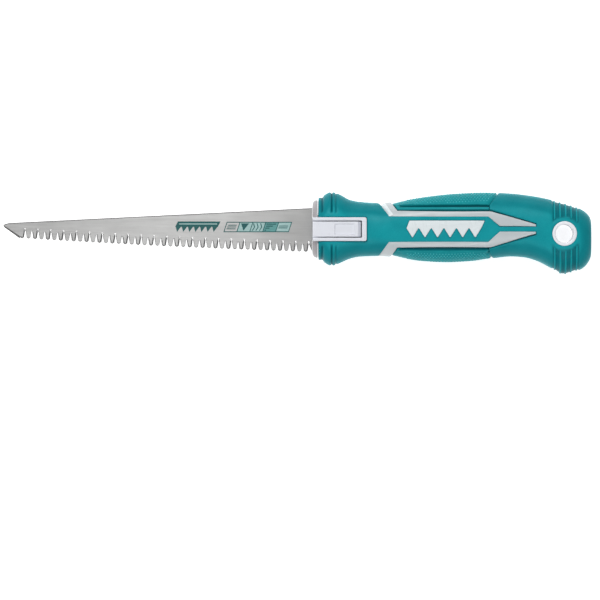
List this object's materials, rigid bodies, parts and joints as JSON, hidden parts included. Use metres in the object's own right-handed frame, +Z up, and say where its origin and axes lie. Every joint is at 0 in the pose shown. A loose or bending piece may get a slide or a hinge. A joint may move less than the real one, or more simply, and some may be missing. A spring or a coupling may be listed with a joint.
{
  "type": "drywall saw",
  "caption": "Jab saw for plasterboard: tapered toothed blade in a press-latch holder, two-shell handle with a soft grip and a hang hole.",
  "frame": {"origin": "on the surface the saw lies on, under the middle of its outline, with the latch face up", "axes": "+X from the blade's tip to the tail, +Y towards the palm edge, +Z up out of the latch face"},
  "size_m": [0.2894, 0.0406, 0.0255],
  "materials": {
    "blade_steel": "brushed along its length, satin",
    "holder_plastic": "satin moulded",
    "shell_plastic": "satin moulded",
    "grip_rubber": "fine matte texture",
    "pad_rubber": "matte with raised dots",
    "eyelet_plastic": "glossy",
    "small_steel": "plain bright"
  },
  "bodies": {
    "body": {"blade": "blade_steel", "blade_holder": "holder_plastic", "latch_pin": "small_steel", "latch_spring": "small_steel", "upper_shell": "shell_plastic", "lower_shell": "shell_plastic", "upper_grip": "grip_rubber", "lower_grip": "grip_rubber", "palm_pad_upper": "pad_rubber", "palm_pad_lower": "pad_rubber", "finger_pad_upper": "pad_rubber", "finger_pad_lower": "pad_rubber", "badge_inlay": "shell_plastic", "eyelet_upper": "eyelet_plastic", "eyelet_lower": "eyelet_plastic", "screw_nose_palm": "small_steel", "screw_nose_finger": "small_steel", "screw_middle": "small_steel", "screw_rear_palm": "small_steel", "screw_rear_finger": "small_steel"},
    "latch": {"latch_lever": "holder_plastic"}
  },
  "joints": [
    {"name": "latch_press", "type": "hinge", "parent": "body", "child": "latch", "pos_m": [0.01915, 0.002, 0.0181], "axis": [0, 1, 0], "range_deg": [0, 14], "stiffness_Nm_per_rad": 0.3, "springref_deg": -11.46, "deforming": ["latch_spring"]}
  ]
}
